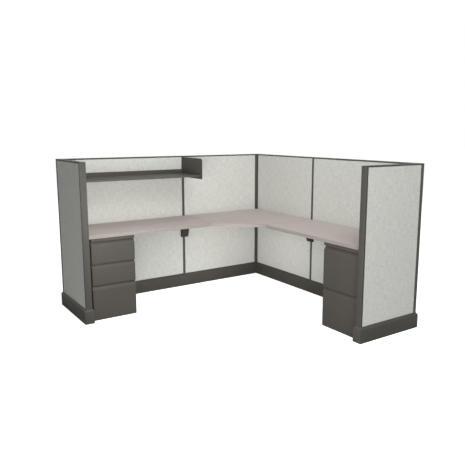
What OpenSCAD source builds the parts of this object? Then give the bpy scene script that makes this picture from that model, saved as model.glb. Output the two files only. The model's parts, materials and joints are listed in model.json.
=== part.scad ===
// Cubicle workstation: two long fabric walls at a right angle, each closed by a short return panel,
// with three worksurfaces, an open shelf and two drawer pedestals inside.
// The floor is z = 0 and the origin lies under the middle of the square plan. The back wall is at
// +y, the side wall at +x, and the open corner of the square faces -x and -y.

/* [Panels] */
// Height of every panel, to the top of its cap
panel_h = 1366; // [1250:1:1700]
// Thickness of a panel, from fabric face to fabric face
panel_t = 55; // [48:1:80]
// Frame width of the panel next to the inner corner
corner_panel_w = 927; // [800:1:1220]
// Frame width of the panel at the far end of a long wall
end_panel_w = 1197; // [1100:1:1520]
// How far a return panel reaches past the front edges of the worksurfaces
return_lead = 26; // [15:1:300]
// Width of the filler between a corner post and a panel frame
post_filler = 10; // [6:1:16]
// Wall of a corner post
post_wall = 2; // [1.5:0.5:3]

/* [Panel frame] */
// Width of the frame stile that shows beside a fabric tile
stile_face = 13; // [10:1:25]
// How far the shown stile face lies behind the fabric face
stile_recess = 1; // [0.5:0.1:3]
// Sheet thickness of the roll-formed frame
frame_sheet = 1.5; // [1:0.1:2]
// Height of the top, middle and bottom rails
rail_h = 25; // [18:1:40]
// Thickness of the sheet that closes the middle of a frame
septum_t = 0.8; // [0.5:0.1:2]

/* [Fabric tiles] */
// Thickness of a fabric-wrapped tile
tile_t = 13; // [8:1:16]
// Reveal round the edge of a tile
tile_gap = 0.8; // [0.4:0.1:2]
// Clearance behind a seated tile
tile_seat = 0.3; // [0.1:0.1:0.5]
// How far an outer tile laps over a corner post
tile_lap = 22; // [4:1:28]

/* [Trim] */
// Height of the top cap
cap_h = 11; // [8:1:20]
// Wall of the top cap
cap_sheet = 2; // [1.5:0.1:3]
// Bevel along the two upper edges of the top cap
cap_bevel = 2; // [1:0.5:4]
// Wall of the trim on the free end of a return panel
trim_sheet = 2.5; // [1.5:0.1:4]
// Leg of that trim along the fabric face
trim_leg = 17; // [10:1:25]

/* [Base covers] */
// Height of the base covers above the floor
base_h = 130; // [100:1:180]
// How far a base cover stands out from the fabric face
base_proud = 13; // [8:1:16]
// Height of the slope along the top of a base cover
base_slope_h = 18; // [8:1:30]
// Sheet thickness of a base cover
base_sheet = 1.5; // [1:0.1:2]
// Width of the lip turned in along the foot of a base cover
base_lip = 8; // [5:0.5:10]
// Gap between a base cover and the floor
base_floor_gap = 1; // [1:1:10]
// Gap between two base covers that meet
base_joint = 0.6; // [0.3:0.1:1.5]

/* [Levelling glides] */
// Radius of a glide's foot
glide_foot_r = 16; // [12:1:18]
// Height of a glide's foot
glide_foot_h = 6; // [4:0.5:8]
// Radius of a glide's threaded stem
glide_stem_r = 4; // [3:0.5:5]
// Clearance round the stem
glide_fit = 0.3; // [0.2:0.1:1]
// Height of the jam nut
glide_nut_h = 5; // [3:0.5:6]
// Radius of the jam nut over its corners
glide_nut_r = 7.5; // [6.5:0.1:10]
// Stem above the face that the nut carries
glide_stem_above = 14; // [8:1:20]
// Height of that face above the floor
glide_stand = 16; // [15:1:24]
// Distance of a glide from the end of its frame
glide_inset = 80; // [60:1:150]
// Distance of a pedestal's glides from the sides of its case
case_glide_inset = 24; // [20:1:60]

/* [Panel connectors] */
// Width of the steel plates that tie the frames together under the caps
connector_w = 16; // [10:1:20]
// Reach of such a plate over each frame
connector_l = 70; // [60:1:120]
// Thickness of such a plate
connector_t = 3; // [2:0.5:4]
// Clearance round a plate in the slot of a cap
connector_fit = 0.5; // [0.3:0.1:1]

/* [Worksurfaces] */
// Height of the worksurfaces above the floor
work_h = 750; // [700:1:780]
// Thickness of a worksurface
work_t = 30; // [25:1:40]
// Front edge of a worksurface, measured from the inner face of the wall
work_depth = 572; // [560:1:640]
// Gap between a worksurface and a panel
work_gap = 3; // [1:0.5:8]
// Gap where two worksurfaces meet
work_joint = 0.8; // [0.3:0.1:2]
// Dip of the concave front of the corner worksurface, from its chord
curve_dip = 40; // [20:1:60]

/* [Worksurface supports] */
// Width of a cantilever bracket
arm_w = 74; // [60:1:90]
// Reach of a cantilever bracket under the worksurface
arm_reach = 450; // [350:1:480]
// Depth of a cantilever bracket down the wall
arm_drop = 192; // [140:1:240]
// Height of the upright nose at the root of a cantilever bracket
arm_nose_h = 95; // [60:1:120]
// Reach of the nose at its lower end
arm_nose_foot = 25; // [20:1:35]
// Reach of the nose at its upper end
arm_nose_reach = 52; // [40:1:70]
// Height of a cantilever bracket at its tip
arm_tip_h = 22; // [15:1:30]
// Sheet thickness of the brackets
arm_sheet = 2.5; // [2:0.1:3]
// Gap between the side walls of a bracket and the fabric
arm_fit = 0.3; // [0.2:0.1:0.8]
// Length of one arm of the corner bracket
cleat_len = 280; // [200:1:350]
// Width of both legs of the corner bracket
cleat_leg = 38; // [25:1:50]
// Length of a plate that joins two worksurfaces
plate_l = 150; // [120:1:200]
// Width of that plate
plate_w = 64; // [50:1:80]
// Thickness of that plate
plate_t = 3; // [2:0.5:4]
// Gap between that plate and the tip of the cantilever bracket
plate_gap = 12; // [8:1:20]

/* [Screws] */
// Radius of a worksurface screw's shank
screw_r = 2.2; // [1.5:0.1:2.5]
// Radius of its head
screw_head_r = 4.5; // [3.5:0.1:6]
// Height of its head
screw_head_h = 2.4; // [1.5:0.1:3.5]
// Depth of its shank in the worksurface
screw_bite = 18; // [12:1:22]
// Clearance round a screw in a hole
screw_fit = 0.1; // [0.05:0.05:0.3]
// Distance of a screw from the edge of the plate that it holds
screw_edge = 14; // [10:1:18]
// Distance of a screw from the edges of a pedestal's top
case_screw_edge = 40; // [35:1:80]

/* [Shelf] */
// How far the shelf's top surface lies below the top of the panels
shelf_drop = 172; // [120:1:250]
// Front edge of the shelf, measured from the inner face of the wall
shelf_depth = 378; // [280:1:400]
// Height of the lip along the front edge
shelf_lip_h = 15; // [12:1:28]
// Width of the hem turned back under that lip
shelf_hem = 15; // [10:1:25]
// Height of the flange turned up along the wall
shelf_back_h = 39; // [20:1:60]
// Sheet thickness of the shelf
shelf_sheet = 1.5; // [1:0.1:2]
// Depth of a shelf end, measured from the inner face of the wall
shelf_end_depth = 398; // [300:1:420]
// How far a shelf end hangs below the top surface
shelf_end_drop = 39; // [22:1:60]
// Gap between the top of a shelf end and the cap
shelf_end_gap = 1; // [1:1:30]
// Thickness of a shelf end
shelf_end_t = 2.5; // [2:0.5:4]
// Distance of the left shelf end from the inner edge of its stile
shelf_end_set = 5; // [2:0.5:8]
// Gap between the right shelf end and the joint of the two panels
shelf_joint_gap = 1; // [0.5:0.5:5]
// Radius of the upper front corner of a shelf end
shelf_round_top = 26; // [10:1:40]
// Radius of the lower front corner of a shelf end
shelf_round_low = 12; // [5:1:20]

/* [Pedestals] */
// Outer width of a pedestal
ped_w = 389; // [360:1:420]
// How far the drawer fronts lie behind the front edge of the worksurface
ped_recess = 9; // [3:1:20]
// Gap between a pedestal and the return panel
ped_side_gap = 25; // [20:1:60]
// Distance from the back of a pedestal to the wall
ped_back = 25; // [20:1:40]
// Sheet thickness of a pedestal case
ped_sheet = 1.5; // [1:0.1:2]
// Height of the fixed rail above the top drawer
ped_rail_h = 28; // [22:1:40]
// Gap behind a closed drawer front
ped_front_gap = 0.5; // [0.3:0.1:1.5]

/* [Drawers] */
// Height of the lower edge of the lowest drawer front
front_low = 3; // [2:1:12]
// Height of the joint between the file drawer and the box drawer above it
split_file = 311; // [300:1:325]
// Height of the joint between the two box drawers
split_box = 498; // [485:1:505]
// Height of the joint between the two drawers of the other pedestal
split_pair = 341; // [325:1:355]
// Depth of a drawer front
front_t = 25; // [20:1:32]
// Height of the sloped finger pull along the top of a drawer front
pull_h = 33; // [25:1:40]
// Width of the flat lip that ends the finger pull
pull_lip = 3; // [2:0.5:6]
// Gap between two drawer fronts
front_gap = 3; // [2:0.5:4]
// Sheet thickness of a drawer front
front_sheet = 1.2; // [0.8:0.1:2]
// Gap between the back of a drawer body and the back of its case
box_end_gap = 36.5; // [20:0.5:60]
// Sheet thickness of a drawer body
box_sheet = 1.2; // [0.8:0.1:2]
// Side height of a box drawer's body
box_side_h = 105; // [80:1:115]
// Side height of a file drawer's body
file_side_h = 235; // [200:1:245]
// Height of a drawer's floor above the lower edge of its front
box_rise = 34; // [34:1:40]

/* [Drawer slides] */
// Space between a drawer's side and the case
slide_space = 12.7; // [12.5:0.1:14]
// Distance from the back end of the slides to the back of the drawer body
slide_end_gap = 6; // [2:0.5:30]
// Half the height of the case channel
slide_half_h = 21; // [18:0.5:24]
// Sheet thickness of the slide channels
slide_sheet = 1.2; // [1:0.1:1.5]
// Running gap between two slide channels
slide_run = 0.4; // [0.3:0.05:0.6]
// Width of the case channel's lips
slide_lip = 9.5; // [8.5:0.1:10]
// Distance from the drawer front to the slides
slide_set_back = 12; // [8:1:20]
// Height of the slide's middle above the drawer's floor
slide_rise = 45; // [40:1:50]

/* [Hidden] */
$fn = 48;
// A cut runs this far past the face that it opens
over = 1;
metal = "#5b5853";
metal_light = "#8d8a86";
fabric_light = "#c4c4bf";
laminate = "#b2aba5";
steel = "#b8b8b4";
black = "#2b2a28";

// Length of a long wall between its two corner posts
wall_l = 2 * post_filler + corner_panel_w + end_panel_w;
half_room = wall_l / 2;
// Place of the joint between the two panels of a long wall
seam = post_filler + corner_panel_w;
// Top of the frames, where the caps sit
frame_top = panel_h - cap_h;
// Outer face of a frame, behind the outer tile
frame_out = panel_t - tile_t - tile_seat;
// Inner face of the rails, behind the inner tile
rail_in = tile_t + tile_seat;
rail_mid = (rail_in + frame_out) / 2;
// Lowest edge of the frames and of the pedestal cases
frame_low = glide_stand;
work_low = work_h - work_t;
shelf_h = panel_h - shelf_drop;
// Reach of a return panel and of the drawer fronts from the inner face of the wall
return_reach = work_depth + return_lead;
ped_front = work_depth - ped_recess;

drawer_back = ped_front - front_t;
case_front = drawer_back - ped_front_gap;
box_l = drawer_back - ped_back - ped_sheet - box_end_gap;
slide_l = box_l - slide_set_back - slide_end_gap;
case_top = work_low;
ped_start = wall_l - ped_side_gap - ped_w;
fascia_low = case_top - ped_rail_h;
// Level of each drawer front: low edge, high edge, side height of its body
file_span = [front_low, split_file - front_gap, file_side_h];
middle_span = [split_file, split_box - front_gap, box_side_h];
upper_span = [split_box, fascia_low - front_gap, box_side_h];
low_pair_span = [front_low, split_pair - front_gap, file_side_h];
high_pair_span = [split_pair, fascia_low - front_gap, file_side_h];
// Inner channels of a slide, from the case outwards
mid_start = slide_sheet + slide_run;
mid_half_h = slide_half_h - mid_start;
slide_back = drawer_back - slide_set_back - slide_l;

// Each wall has its own coordinates: u runs along it from its corner, v runs outwards through it
// from its inner face, and z is up.
module on_back_wall() {
  translate([half_room, half_room, 0]) mirror([1, 0, 0]) children();
}
module on_side_wall() {
  translate([half_room, half_room, 0]) rotate(-90) children();
}
module on_left_return() {
  translate([-half_room, half_room, 0]) mirror([1, 0, 0]) rotate(-90) children();
}
module on_right_return() {
  translate([half_room, -half_room, 0]) rotate(180) children();
}
// Turns v round, so that it is a distance into the room
module into_room() {
  mirror([0, 1, 0]) children();
}

function unit(v) = v / norm(v);
function left_of(v) = [-v[1], v[0]];
// Point i of a path moved to its left by t, along the mitre of the two edges that meet there
function mitred(path, i, t) =
  let (last = len(path) - 1,
       before = unit(path[max(i, 1)] - path[max(i, 1) - 1]),
       after = unit(path[min(i, last - 1) + 1] - path[min(i, last - 1)]),
       m = left_of(before) + left_of(after))
  path[i] + m * (2 * t / (m * m));
// Outline of a bent sheet of thickness t that lies to the left of a path
function bent(path, t) =
  concat(path, [for (i = [len(path) - 1:-1:0]) mitred(path, i, t)]);

// A closed outline, listed anticlockwise, moved in by t
function inset(outline, t) =
  let (n = len(outline))
  [for (i = [0:n - 1]) mitred([outline[(i + n - 1) % n], outline[i], outline[(i + 1) % n]], 1, t)];

// A block between two places along each axis
module block(u, v, z) {
  translate([u[0], v[0], z[0]]) cube([u[1] - u[0], v[1] - v[0], z[1] - z[0]]);
}
// An outline in v and z, drawn along u
module along_u(u, outline) {
  translate([u[0], 0, 0]) rotate([90, 0, 90]) linear_extrude(u[1] - u[0]) polygon(outline);
}
// An outline in u and z, drawn along v
module along_v(v, outline) {
  translate([0, v[1], 0]) rotate([90, 0, 0]) linear_extrude(v[1] - v[0]) polygon(outline);
}
// An outline in u and v, drawn upwards
module upright(z, outline) {
  translate([0, 0, z[0]]) linear_extrude(z[1] - z[0]) polygon(outline);
}

// One levelling glide below a plate whose lower face is at the stand height
module glide() {
  cylinder(r = glide_foot_r, h = glide_foot_h);
  cylinder(r = glide_stem_r, h = glide_stand + glide_stem_above);
  translate([0, 0, glide_stand - glide_nut_h]) cylinder(r = glide_nut_r, h = glide_nut_h, $fn = 6);
}
module glide_hole() {
  translate([0, 0, glide_stand - over])
    cylinder(r = glide_stem_r + glide_fit, h = glide_nut_h + over);
}
module at_frame_glides(u, w) {
  for (place = [u + glide_inset, u + w - glide_inset]) translate([place, rail_mid, 0]) children();
}

// A stile is an open channel whose web is the end of the frame
module stile(v_in) {
  upright([frame_low, frame_top], bent([
    [stile_face, frame_out], [0, frame_out], [0, v_in], [stile_face, v_in]
  ], frame_sheet));
}
module panel_frame(u, w, far_in = stile_recess) {
  color(metal) difference() {
    union() {
      translate([u, 0, 0]) stile(stile_recess);
      translate([u + w, 0, 0]) mirror([1, 0, 0]) stile(far_in);
      for (top = [frame_top, base_h + rail_h / 2])
        along_u([u, u + w], bent([
          [frame_out, top - rail_h], [frame_out, top], [rail_in, top], [rail_in, top - rail_h]
        ], frame_sheet));
      along_u([u, u + w], bent([
        [rail_in, frame_low + rail_h], [rail_in, frame_low],
        [frame_out, frame_low], [frame_out, frame_low + rail_h]
      ], frame_sheet));
      block([u, u + w], [rail_mid - septum_t / 2, rail_mid + septum_t / 2],
        [frame_low + frame_sheet + rail_h / 2, frame_top]);
    }
    at_frame_glides(u, w) glide_hole();
  }
}

module inner_tile(u) {
  color(fabric_light)
    block(u, [0, tile_t], [base_h + tile_gap, frame_top - tile_gap]);
}
module outer_tile(u) {
  color(fabric_light)
    block(u, [panel_t - tile_t, panel_t], [base_h + tile_gap, frame_top - tile_gap]);
}
// Inner tile of a whole panel, between its two stiles
module panel_inner_tile(u, w) {
  inner_tile([u + stile_face + tile_gap, u + w - stile_face - tile_gap]);
}

return_frame_w = return_reach - trim_sheet - post_filler;
module return_frame() {
  panel_frame(post_filler, return_frame_w, trim_sheet + tile_seat);
}
return_tile_end = return_reach - trim_leg - tile_gap;
module return_inner_tile() {
  inner_tile([post_filler + stile_face + tile_gap, return_tile_end]);
}
module return_outer_tile() {
  outer_tile([tile_gap - tile_lap, return_tile_end]);
}
module end_panel_frame() {
  panel_frame(seam, end_panel_w);
}
module corner_panel_frame() {
  panel_frame(post_filler, corner_panel_w);
}
module end_outer_tile() {
  outer_tile([seam + tile_gap / 2, wall_l + tile_lap - tile_gap]);
}
module corner_outer_tile() {
  outer_tile([tile_gap - tile_lap, seam - tile_gap / 2]);
}

// Plan of a corner post: a square tube with a filler towards each of the two panels, let in where
// the outer tiles lap over it
post_plan = [
  [stile_recess, stile_recess], [stile_recess, -post_filler],
  [frame_out, -post_filler], [frame_out, tile_lap],
  [panel_t, tile_lap], [panel_t, panel_t], [tile_lap, panel_t],
  [tile_lap, frame_out], [-post_filler, frame_out], [-post_filler, stile_recess]
];
module post() {
  color(metal) difference() {
    upright([frame_low, frame_top], post_plan);
    upright([frame_low - over, frame_top + over], inset(post_plan, post_wall));
  }
}
// The three corners of the plan that have a post, drawn at the one between the long walls
module at_posts() {
  translate([half_room, half_room, 0]) children();
  for (across = [[1, 0, 0], [0, 1, 0]])
    mirror(across) translate([half_room, half_room, 0]) children();
}
module corner_posts() {
  at_posts() post();
}

// Plates that lie on top of two frames that meet in line, or of a post and two frames
module connector_straight() {
  block([seam - connector_l, seam + connector_l],
    [rail_mid - connector_w / 2, rail_mid + connector_w / 2],
    [frame_top, frame_top + connector_t]);
}
module connector_plates() {
  color(steel) {
    on_back_wall() connector_straight();
    on_side_wall() connector_straight();
    at_posts() connector_corner();
  }
}
module connector_corner() {
  near = rail_mid - connector_w / 2;
  far = rail_mid + connector_w / 2;
  upright([frame_top, frame_top + connector_t], [
    [-connector_l, near], [near, near], [near, -connector_l],
    [far, -connector_l], [far, far], [-connector_l, far]
  ]);
}

module levelling_glides() {
  color(black) {
    on_left_return() at_frame_glides(post_filler, return_frame_w) glide();
    on_right_return() at_frame_glides(post_filler, return_frame_w) glide();
    for (wall = [0, 1]) {
      on_long_wall(wall) at_frame_glides(post_filler, corner_panel_w) glide();
      on_long_wall(wall) at_frame_glides(seam, end_panel_w) glide();
    }
  }
}
module on_long_wall(wall) {
  if (wall == 0) on_back_wall() children();
  else on_side_wall() children();
}

// A cap is an upside-down channel. Its free ends are closed, and a slot lets a connector plate
// through at each corner where another cap meets it.
module cap(u, start_closed, slots) {
  profile = [
    [panel_t, frame_top], [panel_t, panel_h - cap_bevel], [panel_t - cap_bevel, panel_h],
    [cap_bevel, panel_h], [0, panel_h - cap_bevel], [0, frame_top]
  ];
  color(metal) difference() {
    union() {
      along_u(u, bent(profile, cap_sheet));
      if (start_closed) along_u([u[0], u[0] + cap_sheet], profile);
      along_u([u[1] - cap_sheet, u[1]], profile);
    }
    for (place = slots)
      block([place - connector_w / 2 - connector_fit, place + connector_w / 2 + connector_fit],
        [-over, cap_sheet + over], [frame_top - over, frame_top + connector_t + connector_fit]);
  }
}

module end_trim() {
  color(metal) upright([base_h, frame_top], bent([
    [return_reach - trim_leg, 0], [return_reach, 0],
    [return_reach, panel_t], [return_reach - trim_leg, panel_t]
  ], trim_sheet));
}

// Section of a base cover: distances out from the face, with a flange that reaches in along the top
function cover_section(flange) = bent([
  [base_proud - base_lip, base_floor_gap], [base_proud, base_floor_gap],
  [base_proud, base_h - base_slope_h], [0, base_h], [-flange, base_h]
], base_sheet);
// Turns a section's distance out into the room-side or the outer direction of v
function room_side(section) = [for (p = section) [-p[0], p[1]]];
function outer_side(section) = [for (p = section) [panel_t + p[0], p[1]]];
function end_side(section) = [for (p = section) [return_reach + p[0], p[1]]];
module cover_part(plan) {
  color(metal) intersection() {
    children();
    upright([0, base_h + over], plan);
  }
}
// Room-side cover between two mitred ends
module inner_cover(start, end, start_mitre, end_mitre) {
  u0 = start + (start_mitre ? base_proud : base_joint / 2);
  u1 = end + (end_mitre ? end_mitre * base_proud : -base_joint / 2);
  s0 = start - (start_mitre ? stile_recess : -base_joint / 2);
  s1 = end - (end_mitre ? end_mitre * stile_recess : base_joint / 2);
  cover_part([[u0, -base_proud], [u1, -base_proud], [s1, stile_recess], [s0, stile_recess]])
    along_u([s0 - over, max(u1, s1) + over], room_side(cover_section(stile_recess)));
}
// Outer cover: at a corner post it turns the corner with a mitre, and its flange stops at the post
module outer_cover(plan, u) {
  cover_part(plan) along_u(u, outer_side(cover_section(panel_t - frame_out)));
}
post_turn = [
  [base_joint - tile_lap, frame_out], [base_joint - tile_lap, panel_t],
  [base_joint / 2 - panel_t, panel_t],
  [base_joint / 2 - panel_t - base_proud, panel_t + base_proud]
];
module wall_base_covers() {
  far_turn = [for (i = [len(post_turn) - 1:-1:0]) [wall_l - post_turn[i][0], post_turn[i][1]]];
  inner_cover(0, seam, true, 0);
  inner_cover(seam, wall_l, false, -1);
  outer_cover(concat(post_turn, [
    [seam - base_joint / 2, panel_t + base_proud], [seam - base_joint / 2, frame_out]
  ]), [-panel_t - base_proud, seam]);
  outer_cover(concat(far_turn, [
    [seam + base_joint / 2, frame_out], [seam + base_joint / 2, panel_t + base_proud]
  ]), [seam, wall_l + panel_t + base_proud]);
}
module return_base_covers() {
  inner_cover(0, return_reach, true, 1);
  outer_cover(concat(post_turn, [
    [return_reach + base_proud, panel_t + base_proud],
    [return_reach, panel_t], [return_reach + frame_out - panel_t, frame_out]
  ]), [-panel_t - base_proud, return_reach + base_proud]);
  cover_part([
    [return_reach + base_proud, base_joint - base_proud],
    [return_reach + base_proud, panel_t + base_proud - base_joint],
    [return_reach - trim_sheet, panel_t - trim_sheet - base_joint],
    [return_reach - trim_sheet, trim_sheet + base_joint]
  ]) along_v([-base_proud, panel_t + base_proud], end_side(cover_section(trim_sheet)));
}

// Screws that hold a support to the worksurfaces, given as places in plan from the inner corner
screw_pairs = [seam - arm_w / 2 + screw_edge, seam + arm_w / 2 - screw_edge];
// Places of two screws along an arm, as shares of its reach
screw_shares = [0.35, 0.85];
plate_start = arm_reach + plate_gap;
arm_screws = [for (u = screw_pairs) for (s = screw_shares) [u, s * arm_reach]];
plate_screws = [
  for (u = [seam - plate_l / 2 + screw_edge, seam + plate_l / 2 - screw_edge])
    for (d = [plate_start + screw_edge, plate_start + plate_w - screw_edge]) [u, d]
];
cleat_screws = [for (s = screw_shares) [s * cleat_len, work_gap + cleat_leg / 2]];
ped_screws = [
  for (u = [ped_start + case_screw_edge, ped_start + ped_w - case_screw_edge])
    for (d = [ped_back + case_screw_edge, case_front - case_screw_edge]) [u, d]
];
long_wall_screws = concat(arm_screws, plate_screws, cleat_screws, ped_screws);
// The same places seen from the inner corner on both long walls
module at_screws(places) {
  for (wall = [0, 1])
    on_long_wall(wall) into_room() for (place = places) translate([place[0], place[1], 0]) children();
}
module screw_holes(z) {
  at_screws(long_wall_screws) translate([0, 0, z[0]])
    cylinder(r = screw_r + screw_fit, h = z[1] - z[0]);
}
module worksurface_screws() {
  color(steel) {
    screw_set(arm_screws, arm_sheet);
    screw_set(plate_screws, plate_t);
    screw_set(cleat_screws, arm_sheet);
    screw_set(ped_screws, ped_sheet);
  }
}
// Screws whose heads sit under a plate of the given thickness
module screw_set(places, thickness) {
  at_screws(places) {
    translate([0, 0, work_low - thickness - screw_head_h]) cylinder(r = screw_head_r, h = screw_head_h);
    translate([0, 0, work_low - thickness]) cylinder(r = screw_r, h = thickness + screw_bite);
  }
}

module straight_worksurface() {
  into_room() block([seam + work_joint / 2, wall_l - work_gap], [work_gap, work_depth],
    [work_low, work_h]);
}
module left_worksurface() {
  color(laminate) difference() {
    on_back_wall() straight_worksurface();
    screw_holes([work_low - over, work_low + screw_bite + over]);
  }
}
module right_worksurface() {
  color(laminate) difference() {
    on_side_wall() straight_worksurface();
    screw_holes([work_low - over, work_low + screw_bite + over]);
  }
}
// The concave front is one arc from the end of one front edge to the end of the other
corner_end = seam - work_joint / 2;
chord_half = (corner_end - work_depth) / sqrt(2);
curve_r = (chord_half * chord_half + curve_dip * curve_dip) / (2 * curve_dip);
curve_centre = (corner_end + work_depth) / 2 + (curve_r - curve_dip) / sqrt(2);
module corner_worksurface() {
  color(laminate) difference() {
    translate([half_room, half_room, 0]) rotate(180) difference() {
      block([work_gap, corner_end], [work_gap, corner_end], [work_low, work_h]);
      translate([curve_centre, curve_centre, work_low - over])
        cylinder(r = curve_r, h = work_t + 2 * over, $fn = 180);
    }
    screw_holes([work_low - over, work_low + screw_bite + over]);
  }
}

// A folded sheet arm, open towards the wall, with a back plate that sits on the two stiles
module cantilever() {
  path = [
    [arm_fit, work_low], [arm_reach, work_low], [arm_reach, work_low - arm_tip_h],
    [arm_nose_reach, work_low - arm_drop + arm_nose_h],
    [arm_nose_foot, work_low - arm_drop], [arm_fit, work_low - arm_drop]
  ];
  turned = [for (i = [len(path) - 1:-1:0]) path[i]];
  pad = stile_face - tile_gap;
  into_room() {
    along_u([seam - arm_w / 2, seam + arm_w / 2], bent(turned, arm_sheet));
    for (u = [seam - arm_w / 2, seam + arm_w / 2 - arm_sheet])
      along_u([u, u + arm_sheet], path);
    block([seam - pad, seam + pad], [-stile_recess, arm_fit + arm_sheet],
      [work_low - arm_drop, work_low]);
  }
}
module cantilever_brackets() {
  color(metal) difference() {
    for (wall = [0, 1]) on_long_wall(wall) cantilever();
    at_screws(arm_screws) translate([0, 0, work_low - arm_sheet - over])
      cylinder(r = screw_r + screw_fit, h = arm_sheet + 2 * over);
  }
}

// An angle along each wall, joined in the inner corner and let in to the post and the stiles there
module corner_bracket() {
  low = work_low - cleat_leg;
  pad = post_filler + stile_face - tile_gap;
  color(metal) difference() {
    translate([half_room, half_room, 0]) rotate(180) union() {
      upright([low, work_low], [
        [arm_fit, arm_fit], [cleat_len, arm_fit], [cleat_len, arm_fit + arm_sheet],
        [arm_fit + arm_sheet, arm_fit + arm_sheet], [arm_fit + arm_sheet, cleat_len],
        [arm_fit, cleat_len]
      ]);
      upright([work_low - arm_sheet, work_low], [
        [arm_fit, arm_fit], [cleat_len, arm_fit], [cleat_len, cleat_leg],
        [cleat_leg, cleat_leg], [cleat_leg, cleat_len], [arm_fit, cleat_len]
      ]);
      upright([low, work_low], [
        [-stile_recess, -stile_recess], [pad, -stile_recess], [pad, arm_fit],
        [arm_fit, arm_fit], [arm_fit, pad], [-stile_recess, pad]
      ]);
    }
    at_screws(cleat_screws) translate([0, 0, work_low - arm_sheet - over])
      cylinder(r = screw_r + screw_fit, h = arm_sheet + 2 * over);
  }
}

module joining_plates() {
  color(metal) difference() {
    for (wall = [0, 1]) on_long_wall(wall) into_room()
      block([seam - plate_l / 2, seam + plate_l / 2], [plate_start, plate_start + plate_w],
        [work_low - plate_t, work_low]);
    at_screws(plate_screws) translate([0, 0, work_low - plate_t - over])
      cylinder(r = screw_r + screw_fit, h = plate_t + 2 * over);
  }
}

// The shelf hangs on the far panel of the back wall; its ends stand on the two stiles there
shelf_right = seam + shelf_joint_gap;
shelf_left = wall_l - post_filler - stile_face + shelf_end_set;
module shelf_pan() {
  color(metal) on_back_wall() into_room()
    along_u([shelf_right + shelf_end_t, shelf_left], bent([
      [shelf_depth - shelf_hem, shelf_h - shelf_lip_h], [shelf_depth, shelf_h - shelf_lip_h],
      [shelf_depth, shelf_h], [arm_fit + shelf_sheet, shelf_h],
      [arm_fit + shelf_sheet, shelf_h + shelf_back_h]
    ], shelf_sheet));
}
// A tongue seats on the stile, and the front corners are round. The outline is made of squares and
// circles, so that its arcs stay true.
module shelf_end(u) {
  low = shelf_h - shelf_end_drop;
  top = frame_top - shelf_end_gap;
  color(metal) on_back_wall() into_room() translate([u, 0, 0]) rotate([90, 0, 90])
    linear_extrude(shelf_end_t) union() {
      translate([-stile_recess, low]) square([2 * stile_recess, top - low]);
      translate([arm_fit, low])
        square([shelf_end_depth - shelf_round_top - arm_fit, top - low]);
      translate([arm_fit, low + shelf_round_low])
        square([shelf_end_depth - arm_fit, top - shelf_round_top - low - shelf_round_low]);
      translate([arm_fit, low])
        square([shelf_end_depth - shelf_round_low - arm_fit, shelf_round_low + over]);
      translate([shelf_end_depth - shelf_round_top, top - shelf_round_top])
        circle(r = shelf_round_top);
      translate([shelf_end_depth - shelf_round_low, low + shelf_round_low])
        circle(r = shelf_round_low);
    }
}
module shelf_left_end() {
  shelf_end(shelf_left);
}
module shelf_right_end() {
  shelf_end(shelf_right);
}

// A pedestal has its own coordinates: u runs across it from the inner side, v is the distance from
// the wall, and z is up. The left one stands against the back wall, the right one at the side wall.
module at_pedestal(side) {
  on_long_wall(side) into_room() translate([ped_start, 0, 0]) children();
}
module at_case_glides() {
  for (u = [case_glide_inset, ped_w - case_glide_inset])
    for (v = [ped_back + case_glide_inset, case_front - case_glide_inset])
      translate([u, v, 0]) children();
}
module pedestal_case(side) {
  color(metal) difference() {
    at_pedestal(side) difference() {
      union() {
        difference() {
          block([0, ped_w], [ped_back, case_front], [frame_low, case_top]);
          block([ped_sheet, ped_w - ped_sheet], [ped_back + ped_sheet, case_front + over],
            [frame_low + ped_sheet, case_top - ped_sheet]);
        }
        fascia();
      }
      at_case_glides() glide_hole();
    }
    at_screws(ped_screws) translate([0, 0, case_top - ped_sheet - over])
      cylinder(r = screw_r + screw_fit, h = ped_sheet + 2 * over);
  }
}
// The fixed rail above the top drawer, flush with the drawer fronts
module fascia() {
  path = [
    [case_front - over, fascia_low], [ped_front, fascia_low], [ped_front, case_top],
    [case_front - over, case_top]
  ];
  along_u([0, ped_w], bent(path, ped_sheet));
  for (u = [0, ped_w - ped_sheet]) along_u([u, u + ped_sheet], path);
}
module pedestal_glides() {
  color(black) for (side = [0, 1]) at_pedestal(side) at_case_glides() glide();
}

// A drawer front is a closed pan whose top slopes back to make the finger pull
module drawer_front(side, span) {
  path = [
    [drawer_back, span[0]], [ped_front, span[0]], [ped_front, span[1] - pull_h],
    [drawer_back + pull_lip, span[1]], [drawer_back, span[1]]
  ];
  color(metal) at_pedestal(side) {
    along_u([0, ped_w], bent(path, front_sheet));
    for (u = [0, ped_w - front_sheet]) along_u([u, u + front_sheet], path);
  }
}
// An open-topped steel body that carries the inner channel of the slides on each side
box_in = ped_sheet + slide_space;
module drawer_body(side, span, channel_start, channel_half_h) {
  low = span[0] + box_rise;
  color(metal_light) at_pedestal(side) {
    difference() {
      block([box_in, ped_w - box_in], [drawer_back - box_l, drawer_back], [low, low + span[2]]);
      block([box_in + box_sheet, ped_w - box_in - box_sheet],
        [drawer_back - box_l + box_sheet, drawer_back - box_sheet],
        [low + box_sheet, low + span[2] + over]);
    }
    both_slides(low, [
      [channel_start, -channel_half_h], [slide_space, -channel_half_h],
      [slide_space, channel_half_h], [channel_start, channel_half_h]
    ]);
  }
}
// A slide channel on both sides of a drawer; its section is given from the case's side inwards
module both_slides(low, path) {
  section = bent([for (p = path) [ped_sheet + p[0], low + slide_rise + p[1]]], slide_sheet);
  along_v([slide_back, slide_back + slide_l], section);
  translate([ped_w, 0, 0]) mirror([1, 0, 0]) along_v([slide_back, slide_back + slide_l], section);
}
module case_slides(side, spans) {
  color(steel) at_pedestal(side) for (span = spans)
    both_slides(span[0] + box_rise, [
      [slide_lip, slide_half_h], [0, slide_half_h], [0, -slide_half_h], [slide_lip, -slide_half_h]
    ]);
}
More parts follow.
